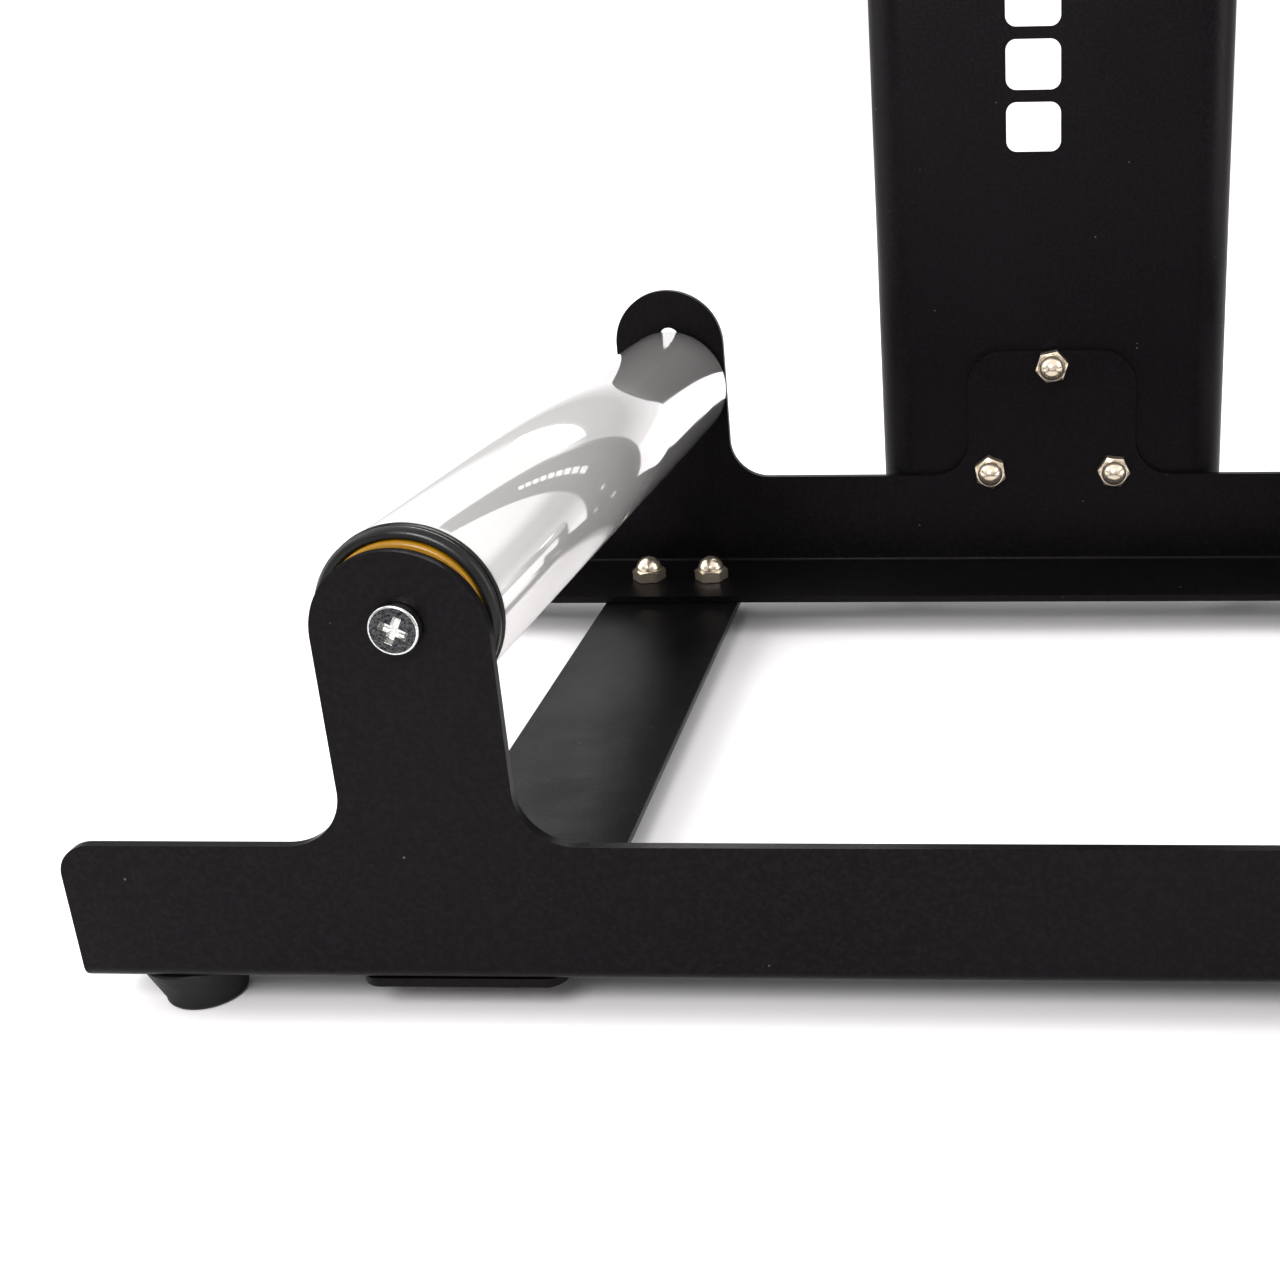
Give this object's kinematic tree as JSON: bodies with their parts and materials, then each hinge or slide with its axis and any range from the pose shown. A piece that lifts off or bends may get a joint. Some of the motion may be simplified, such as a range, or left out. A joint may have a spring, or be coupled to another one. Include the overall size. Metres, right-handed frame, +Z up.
{
  "type": "roller stand",
  "caption": "Low black floor stand of folded rails and flat crossbars with chromed cross rollers between ears and a tall folded post bolted to the far rail.",
  "frame": {"origin": "centre of the bounding box's base, on the floor under the stand", "axes": "+X along the rails, +Y from the near rail towards the post, +Z up"},
  "size_m": [0.56, 0.4044, 0.7983],
  "materials": {
    "black_powder_coat": "fine textured satin",
    "chromed_tube": "polished",
    "nickel_fastener": "polished",
    "bright_zinc": "bright plated",
    "amber_cap": "satin",
    "black_ring": "satin",
    "bearing_steel": "ground",
    "rubber_foot": "matt"
  },
  "bodies": {
    "frame": {"near_rail": "black_powder_coat", "far_rail": "black_powder_coat", "left_crossbar": "black_powder_coat", "right_crossbar": "black_powder_coat", "post": "black_powder_coat", "post_cap": "black_powder_coat", "far_flange_bolt_1": "nickel_fastener", "far_flange_bolt_2": "nickel_fastener", "far_flange_bolt_3": "nickel_fastener", "far_flange_bolt_4": "nickel_fastener", "far_flange_nut_1": "nickel_fastener", "far_flange_nut_2": "nickel_fastener", "far_flange_nut_3": "nickel_fastener", "far_flange_nut_4": "nickel_fastener", "far_left_foot": "rubber_foot", "far_left_foot_screw": "bright_zinc", "far_right_foot": "rubber_foot", "far_right_foot_screw": "bright_zinc", "near_flange_bolt_1": "nickel_fastener", "near_flange_bolt_2": "nickel_fastener", "near_flange_bolt_3": "nickel_fastener", "near_flange_bolt_4": "nickel_fastener", "near_flange_nut_1": "nickel_fastener", "near_flange_nut_2": "nickel_fastener", "near_flange_nut_3": "nickel_fastener", "near_flange_nut_4": "nickel_fastener", "near_left_foot": "rubber_foot", "near_left_foot_screw": "bright_zinc", "near_right_foot": "rubber_foot", "near_right_foot_screw": "bright_zinc", "post_bolt_1": "nickel_fastener", "post_bolt_2": "nickel_fastener", "post_bolt_3": "nickel_fastener", "post_nut_1": "nickel_fastener", "post_nut_2": "nickel_fastener", "post_nut_3": "nickel_fastener", "right_axle": "bright_zinc", "right_far_screw": "bright_zinc", "right_near_screw": "bright_zinc"},
    "left_axle_set": {"left_axle": "bright_zinc", "left_near_screw": "bright_zinc"},
    "left_roller": {"left_far_bearing": "bearing_steel", "left_far_cap": "amber_cap", "left_near_bearing": "bearing_steel", "left_near_cap": "amber_cap", "left_roller_ring": "black_ring", "left_roller_tube": "chromed_tube"},
    "right_roller": {"right_far_bearing": "bearing_steel", "right_far_cap": "amber_cap", "right_near_bearing": "bearing_steel", "right_near_cap": "amber_cap", "right_roller_ring": "black_ring", "right_roller_tube": "chromed_tube"}
  },
  "joints": [
    {"name": "left_roller_lift", "type": "hinge", "parent": "frame", "child": "left_axle_set", "pos_m": [-0.1725, -0.19656, 0.1247], "axis": [1, 0, 0], "range_deg": [0, 3.6]},
    {"name": "left_roller_spin", "type": "hinge", "parent": "left_axle_set", "child": "left_roller", "pos_m": [-0.1725, -0.19656, 0.1247], "axis": [0, 0.998, -0.0628], "continuous": true},
    {"name": "right_roller_spin", "type": "hinge", "parent": "frame", "child": "right_roller", "pos_m": [0.1725, -0.19656, 0.1247], "axis": [0, 1, 0], "continuous": true}
  ]
}
